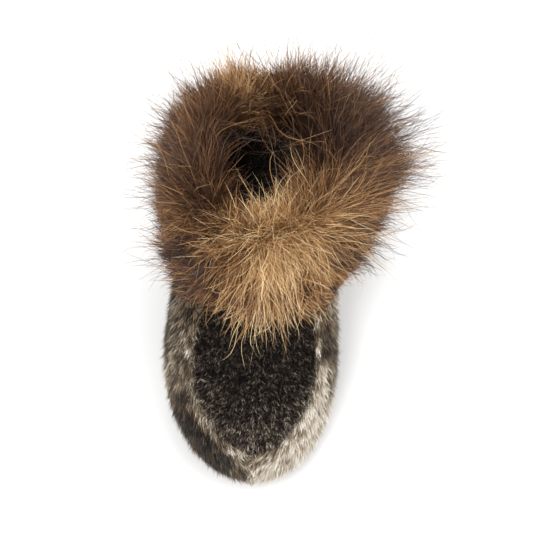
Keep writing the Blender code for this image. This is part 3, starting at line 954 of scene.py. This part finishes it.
def fleece_painted_shade_finish():
    made, start, shader = new_finish("fleece", 0.95)
    curl = start.node("ShaderNodeTexCoord", output="Object").noise(scale=420, detail=3, roughness=0.65)
    # Painted shade: the fleece is coloured near black for the shade inside the opening.
    feed(shader, "Base Color", curl.ramp((0.35, rgb(10, 9, 8)), (0.7, rgb(46, 41, 38))))
    roughen(shader, curl, strength=0.8, distance=0.0008)
    return made


def pile_relief(point):
    return PILE_RELIEF * noise.noise(point / PILE_RELIEF_SIZE)


def pile_on(name, points, faces, ways, cover, length, tone, bend, pile, seed):
    """Curly pile on a face of the fleece. Each point has its way, and its cover is 0 where it is bare."""
    even = {"tone": [tone] * len(points), "bend": [bend] * len(points), "loose": [1.0] * len(points)}
    values = {"grow": ways, "hair": [length] * len(points), "cover": cover, **even}
    pelt = made_object(name + "_pelt", points, faces, values)
    hairs = grown(name, pelt, fleece_pile, pile, seed)
    bpy.data.objects.remove(pelt)


fleece = fleece_painted_shade_finish()
fleece_pile = hair_finish("fleece_pile", FLEECE_ROOTS, FLEECE_TIPS, 0.9, 1.0)
lining_turns = turns(LINING_HALF_STEPS)
lining_outer, lining_inner, lining_ways = [], [], []
for level in LINING_LEVELS:
    for turn in lining_turns:
        point, normal = skin(turn, level), skin_normal(turn, level)
        lining_outer.append(point - normal * (drawn_in(turn, level) + LINING_DEPTH))
        lining_inner.append(point - normal * (WALL + pile_relief(point)))
        lining_ways.append(-normal)
lining = shell("lining", lining_outer, lining_inner, len(lining_turns))
lining.data.materials.append(fleece)
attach(lining, "root")

insole_edge, insole_floor = WALL_SWELL + WALL + INSOLE_ROOM, SOLE_THICKNESS + GAP
INSOLE_LAYERS = (
    (insole_edge + INSOLE_EDGE_TUCK, insole_floor),
    (insole_edge, insole_floor + INSOLE_THICKNESS * 0.3),
    (insole_edge, insole_floor + INSOLE_THICKNESS * 0.7),
    (insole_edge + INSOLE_EDGE_ROUND, insole_floor + INSOLE_THICKNESS),
)
insole = plate("insole_pad", INSOLE_LAYERS, INSOLE_HALF_STEPS, INSOLE_ACROSS, pile_relief)
insole.data.materials.append(fleece)
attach(insole, "root")
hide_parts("insole")

facing_in = [face[::-1] for face in bands(len(LINING_LEVELS), len(lining_turns))]
everywhere = [1.0] * len(lining_inner)
pile_sizes = (LINING_PILE_LENGTH, 0.35, (0, 0, 0.3), LINING_PILE, 21)
pile_on("lining_pile", lining_inner, facing_in, lining_ways, everywhere, *pile_sizes)
insole_points = [vertex.co.copy() for vertex in insole.data.vertices]
insole_faces = [tuple(face.vertices) for face in insole.data.polygons]
near_top = insole_floor + 0.8 * INSOLE_THICKNESS
top_only = [1.0 if point.z > ground(point.y) + near_top else 0.0 for point in insole_points]
upwards = [(0, 0, 1)] * len(insole_points)
pile_sizes = (INSOLE_PILE_LENGTH, 0.30, (0, -0.3, 0), INSOLE_PILE, 22)
pile_on("insole_pile", insole_points, insole_faces, upwards, top_only, *pile_sizes)


# The cuff is a strip of long fur, folded over the rim and sewn down inside and out. Its pelt is a soft roll.
# The hair parts along the fold: outside it falls away from the foot, and inside it stands round the ankle.

FUR_FRONT = 0.015
FUR_OUTER_SIDE = 0.034
FUR_INNER_SIDE = 0.021
FUR_BACK = 0.011
FUR_ABOVE_RIM = 0.020
FUR_INSIDE = 0.009
PELT_SHARE = 0.58
INNER_HEMS = (9.2, 8.4, 8.4)
PELT_HALF_STEPS = 90
PLACE_STEP = 0.25

Skirt = collections.namedtuple("Skirt", "rise thickness")
SKIRT = (
    Skirt(0.00, 0.12),
    Skirt(0.10, 0.50),
    Skirt(0.30, 0.85),
    Skirt(0.60, 1.00),
    Skirt(0.90, 1.00),
)
Crest = collections.namedtuple("Crest", "outside above inside")
CREST = (
    Crest(0.88, 0.30, 0.0),
    Crest(0.50, 0.80, 0.0),
    Crest(0.10, 1.00, 0.0),
    Crest(0.00, 0.90, 0.5),
    Crest(0.00, 0.45, 1.0),
    Crest(0.00, -0.10, 1.0),
)
LAST_PLACE = len(SKIRT) + len(CREST) - 1

# How the long hair leaves the pelt, from the hem, at place 0, over the fold to the inner edge. Each rise is
# the angle over the level way out of the collar, in degrees, and each length is in metres.
Growth = collections.namedtuple(
    "Growth", "place front_rise side_rise back_rise front_length side_length back_length"
)
GROWTHS = (
    Growth(0, -7, -14, -24, 0.020, 0.010, 0.012),
    Growth(2, 0, 2, -4, 0.028, 0.018, 0.018),
    Growth(4, 8, 12, 12, 0.034, 0.028, 0.024),
    Growth(6, 36, 30, 38, 0.036, 0.032, 0.030),
    Growth(8, 98, 74, 90, 0.032, 0.028, 0.030),
    Growth(10, 136, 116, 134, 0.024, 0.018, 0.032),
)
DROOP = (0.36, 0.30, 0.12)
SWIRL = 0.55
SWIRL_SIZE = 0.028
SWIRL_SEED = 2
BRUSHED_BACK = 0.70
TUFT = 0.55
TUFT_SIZE = 0.022
INSIDE_DROOP = 0.3
FOLD = 7
CREST_TOP = 8
LOOSE_FOLD = 2.4
LOOSE_FOLD_SPREAD = 2.0
HEM_PLACES = 4
THIN_HEM = 0.27
NEAT_HEM = 0.5
CREST_FILL = 0.5
CREST_FILL_SPREAD = 1.5
# Painted light: the fur's tone is raised on the top of the front crest, where the light from above falls on
# it.
CREST_PAINTED_LIGHT = 0.14
CREST_LIGHT_PLACES = 2.5
CREST_LIGHT_TURNS = 0.22
CREST_LIGHT_TURN = 0.04
# Painted shade: the tone is lowered over the crest and the cuff's inner face round the sides and back, where
# shade falls towards the ankle opening.
INSIDE_PAINTED_SHADE = 0.08
SHADE_FROM = 6
SHADE_PLACES = 4
SHADE_TURN = 0.3
SHADE_BLEND = 0.1
HEM_TONE_PLACES = 5
HEM_TONE_TURNS = 0.30
STRAYS_INSIDE = 0.55
FUR_ROOM = {"room_from": (-0.086, -0.300, 0.012), "room_to": (0.1075, 0.0620, 0.1340)}

# How the fur changes round the cuff. tone is 0 for black-brown and 1 for the palest gold. reach is its length
# against the lengths above, and skirt is that again for the hair that hangs over the skins.
Coat = collections.namedtuple("Coat", "turn tone reach skirt")
COATS = (
    Coat(-1.00, 0.55, 1.00, 1.00),
    Coat(-0.85, 0.66, 1.05, 1.00),
    Coat(-0.70, 0.36, 1.05, 1.05),
    Coat(-0.50, 0.24, 0.95, 1.20),
    Coat(-0.32, 0.22, 1.00, 0.95),
    Coat(-0.20, 0.28, 0.92, 0.45),
    Coat(-0.10, 0.58, 0.86, 0.60),
    Coat(0.03, 0.82, 1.00, 1.10),
    Coat(0.14, 0.71, 0.88, 0.58),
    Coat(0.24, 0.62, 0.92, 0.30),
    Coat(0.36, 0.36, 1.20, 0.42),
    Coat(0.46, 0.20, 1.60, 0.80),
    Coat(0.60, 0.18, 1.90, 1.00),
    Coat(0.74, 0.26, 1.55, 1.00),
    Coat(0.88, 0.42, 1.15, 1.00),
    Coat(1.00, 0.55, 1.00, 1.00),
)
SKIRT_ENDS_AT = 7.0
TINT_MOTTLE = 0.24
TINT_MOTTLE_SIZE = 0.014


def fur_thickness(turn):
    return between(turn, FUR_FRONT, FUR_OUTER_SIDE if turn > 0 else FUR_INNER_SIDE, FUR_BACK)


def rim_out(turn):
    """The level direction out of the collar's oval."""
    angle = math.pi * turn
    return Vector((COLLAR_LENGTH * math.sin(angle), -COLLAR_WIDTH * math.cos(angle), 0)).normalized()


def cuff_outside(turn, share):
    """Points over the cuff's outer face at one turn, with its fur as thick as a share of the whole."""
    hem, thickness = between(turn, *CUFF_HEMS), fur_thickness(turn) * share
    points = []
    for row in SKIRT:
        level = hem + (RIM_LEVEL - hem) * row.rise
        points.append(skin(turn, level) + skin_normal(turn, level) * thickness * row.thickness)
    out = rim_out(turn)
    middle = skin(turn, RIM_LEVEL) - out * WALL / 2
    for row in CREST:
        sideways = thickness * row.outside - (FUR_INSIDE * share + WALL / 2) * row.inside
        points.append(middle + out * sideways + Vector((0, 0, FUR_ABOVE_RIM * share * row.above)))
    return points


def growth_at(turn, place):
    """The rise and the length of the hair at a place of the cuff."""
    rows = [row[1:] for row in GROWTHS]
    step = GROWTHS[1].place - GROWTHS[0].place
    values = through(rows, min(place / step, len(rows) - 1.0001))
    return math.radians(between(turn, *values[:3])), between(turn, *values[3:])


def coat_at(turn):
    """The tone, the reach and the skirt of the fur at a turn."""
    high = next(index for index, coat in enumerate(COATS) if turn <= coat.turn or coat is COATS[-1])
    low = max(high - 1, 0)
    share = eased((turn - COATS[low].turn) / (COATS[high].turn - COATS[low].turn)) if high else 0.0
    return [a + (b - a) * share for a, b in zip(COATS[low][1:], COATS[high][1:])]


pelt_turns = turns(PELT_HALF_STEPS)
pelt_places = np.arange(0, LAST_PLACE + 0.01, PLACE_STEP)
pelt_profiles = [cuff_outside(turn, PELT_SHARE) for turn in pelt_turns]
pelt_face = [
    [Vector(through(profile, min(place, LAST_PLACE - 0.0001))) for profile in pelt_profiles]
    for place in pelt_places
]
wrap = []
for turn in pelt_turns:
    outer, inner = between(turn, *CUFF_HEMS), between(turn, *INNER_HEMS)
    edge, out = skin(turn, RIM_LEVEL), rim_out(turn)
    wrap.append(
        [
            skin(turn, inner) - skin_normal(turn, inner) * (WALL + GAP),
            edge - out * (WALL + GAP) + Vector((0, 0, GAP)),
            edge + out * GAP + Vector((0, 0, GAP)),
            skin(turn, outer) + skin_normal(turn, outer) * GAP,
        ]
    )
pelt_rings = pelt_face + [[column[row] for column in wrap] for row in range(4)]
pelt_tones = [coat_at(turn)[0] for ring in pelt_rings for turn in pelt_turns]

FUR_ROOTS = (rgb(24, 16, 13), rgb(50, 33, 25), rgb(98, 66, 45), rgb(168, 124, 78), rgb(214, 170, 112))
FUR_TIPS = (rgb(50, 34, 26), rgb(96, 64, 45), rgb(154, 109, 69), rgb(210, 166, 108), rgb(246, 222, 176))


def pelt_finish():
    made, start, shader = new_finish("fur_pelt", 0.9)
    tone = start.node("ShaderNodeAttribute", {"attribute_name": "tone"}, output="Fac")
    fluff = start.node("ShaderNodeTexCoord", output="Object").noise(scale=500, detail=3)
    feed(shader, "Base Color", tone.ramp(*tone_stops(*FUR_ROOTS)).blend(rgb(20, 14, 11), fluff * 0.6))
    roughen(shader, fluff, strength=0.6, distance=0.0006)
    return made


cuff_pelt = made_object(
    "cuff_pelt",
    [point for ring in pelt_rings for point in ring],
    bands(len(pelt_rings), len(pelt_turns), closed=True),
    {"tone": pelt_tones},
)
cuff_pelt.data.materials.append(pelt_finish())
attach(cuff_pelt, "root")
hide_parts("fur_cuff")

# Each part of the cuff's hair is its own piece: the front, the two sides and the back.
CuffPart = collections.namedtuple("CuffPart", "name middle half_width")
CUFF_PARTS = (
    CuffPart("front", 0.0, 0.25),
    CuffPart("outer_side", 0.5, 0.25),
    CuffPart("back", 1.0, 0.25),
    CuffPart("inner_side", -0.5, 0.25),
)

# The swirls are the same on each run, since their noise starts from a fixed seed and not from the clock.
noise.seed_set(SWIRL_SEED)


def long_hair_values(part, layer):
    """The values that one layer of hair grows by on one part of the cuff."""
    grow, bend, length, cover, tones, loose = [], [], [], [], [], []
    for place, ring in zip(pelt_places, pelt_face):
        for turn, point in zip(pelt_turns, ring):
            rise, hair = growth_at(turn, place)
            tone, reach, skirt = coat_at(turn)
            hair *= reach * (skirt + (1 - skirt) * eased(place / SKIRT_ENDS_AT))
            swirl = noise.noise_vector(point / SWIRL_SIZE) * SWIRL
            brushed = Vector((0, BRUSHED_BACK * math.sin(math.pi * turn) ** 2, 0))
            grow.append(rim_out(turn) * math.cos(rise) + Vector((0, 0, math.sin(rise))) + brushed + swirl)
            over_hem = eased(place / HEM_PLACES)
            neat = 1 - NEAT_HEM * (1 - over_hem)
            loose.append(neat + (LOOSE_FOLD - 1) * bell(place - FOLD, LOOSE_FOLD_SPREAD))
            droop = between(turn, *DROOP) * (1 if place < CREST_TOP else INSIDE_DROOP)
            bend.append(Vector((0, 0, -droop)))
            tuft = 1 + TUFT * noise.noise(point / TUFT_SIZE + Vector((3, 5, 7)))
            length.append(hair * layer.longer * tuft)
            away = abs((turn - part.middle + 1) % 2 - 1)
            crest = CREST_FILL * bell(place - CREST_TOP, CREST_FILL_SPREAD)
            covered = THIN_HEM + (1 - THIN_HEM) * over_hem + crest
            if layer.name == "stray_hair":
                covered *= 1 - (1 - STRAYS_INSIDE) * eased((place - FOLD) / 2)
            cover.append(covered if away <= part.half_width + 0.001 else 0.0)
            mottle = TINT_MOTTLE * cloudy(point / TINT_MOTTLE_SIZE)
            # Painted shade inside the cuff, away from the front.
            shade_round_back = 1 - eased((SHADE_TURN - abs(turn)) / SHADE_BLEND)
            painted_shade = INSIDE_PAINTED_SHADE * eased((place - SHADE_FROM) / SHADE_PLACES) * shade_round_back
            # Painted light on the top of the front crest.
            crest_light = CREST_PAINTED_LIGHT * bell(place - CREST_TOP, CREST_LIGHT_PLACES)
            crest_light *= bell(turn - CREST_LIGHT_TURN, CREST_LIGHT_TURNS)
            hem = layer.hem_tone * (1 - eased(place / HEM_TONE_PLACES)) * bell(turn, HEM_TONE_TURNS)
            tones.append(min(1.0, max(0.0, tone + mottle + layer.lighter + crest_light + hem - painted_shade)))
    return {"grow": grow, "bend": bend, "hair": length, "cover": cover, "tone": tones, "loose": loose}


undercoat = hair_finish("undercoat", FUR_ROOTS, FUR_TIPS, 0.55, 1.3)
guard_hair = hair_finish("guard_hair", FUR_ROOTS, FUR_TIPS, 0.42, 1.0)
FurLayer = collections.namedtuple("FurLayer", "name finish hair longer lighter hem_tone seed")
UNDERCOAT = Hair(3, 2.0e6, 0.00040, 0.40, 1.0, 0.18, 0.1, 4.0e4, 0.50, 0.24, 0.03, 0.6, 0.27, 0.18)
GUARD_HAIR = Hair(6, 4.5e5, 0.00030, 0.35, 1.4, 0.20, 0.4, 9.0e3, 0.55, 0.34, 0.05, 0.6, 0.27, 0.18)
STRAY_HAIR = Hair(9, 1.3e5, 0.00027, 0.50, 1.2, 0.60, 0.8, 4.0e3, 0.10, 0.20, 0.10, 0.6, 0.27, 0.18)
FUR_LAYERS = (
    FurLayer("undercoat", undercoat, UNDERCOAT, 0.88, -0.07, -0.50, 31),
    FurLayer("guard_hair", guard_hair, GUARD_HAIR, 1.46, 0.06, 0.18, 41),
    FurLayer("stray_hair", guard_hair, STRAY_HAIR, 2.10, 0.00, 0.10, 51),
)
pelt_points = [point for ring in pelt_face for point in ring]
for layer in FUR_LAYERS:
    for index, part in enumerate(CUFF_PARTS):
        values = long_hair_values(part, layer)
        pelt = made_object(part.name + "_pelt", pelt_points, bands(len(pelt_face), len(pelt_turns)), values)
        name, seed = f"{part.name}_{layer.name}", layer.seed + index
        hairs = grown(name, pelt, layer.finish, layer.hair, seed, **FUR_ROOM)
        bpy.data.objects.remove(pelt)

for strand in STRANDS.values():
    bpy.data.objects.remove(strand)


# The slipper stands on a plain pale floor in soft studio light. The camera keeps the photograph's angle to
# it: high above the toe, a little to the big toe's side and rolled so that the heel leans right.

CAMERA_PLACE = Vector((-0.034, -0.551, 0.866))
CAMERA_TARGET = Vector((0.004, -0.076, 0.052))
CAMERA_ROLL = math.radians(7.08)
CAMERA_LENS = 100
FLOOR_SIZE = 6.0

floor_material, _, floor_shader = new_finish("pale_floor", 0.7)
floor_shader.inputs["Base Color"].default_value = rgb(246, 246, 246)
far = FLOOR_SIZE / 2
floor = made_object("floor", [(-far, -far, 0), (far, -far, 0), (far, far, 0), (-far, far, 0)], [(0, 1, 2, 3)])
floor.data.materials.append(floor_material)


def area_light(name, place, aim, size, power):
    lamp = bpy.data.lights.new(name, "AREA")
    lamp.size = size
    lamp.energy = power
    made = bpy.data.objects.new(name, lamp)
    made.location = place
    made.rotation_euler = (Vector(aim) - Vector(place)).to_track_quat("-Z", "Y").to_euler()
    bpy.context.scene.collection.objects.link(made)


area_light("key", (-0.6, -0.9, 1.6), (0, -0.08, 0.05), 0.9, 22)
area_light("fill", (1.3, -0.5, 1.3), (0, -0.08, 0.05), 1.4, 14)
area_light("back", (0.2, 1.4, 1.5), (0, -0.05, 0.05), 1.4, 16)

world = bpy.data.worlds.new("studio")
world.use_nodes = True
background = world.node_tree.nodes["Background"]
background.inputs["Color"].default_value = (1, 1, 1, 1)
background.inputs["Strength"].default_value = 0.75
bpy.context.scene.world = world
bpy.context.scene.view_settings.view_transform = "Standard"

lens = bpy.data.cameras.new("camera")
lens.lens = CAMERA_LENS
lens.clip_start = 0.01
camera = bpy.data.objects.new("camera", lens)
camera.location = CAMERA_PLACE
aim = (CAMERA_TARGET - CAMERA_PLACE).to_track_quat("-Z", "Y").to_matrix()
camera.rotation_euler = (aim @ Matrix.Rotation(CAMERA_ROLL, 3, "Z")).to_euler()
bpy.context.scene.collection.objects.link(camera)
bpy.context.scene.camera = camera
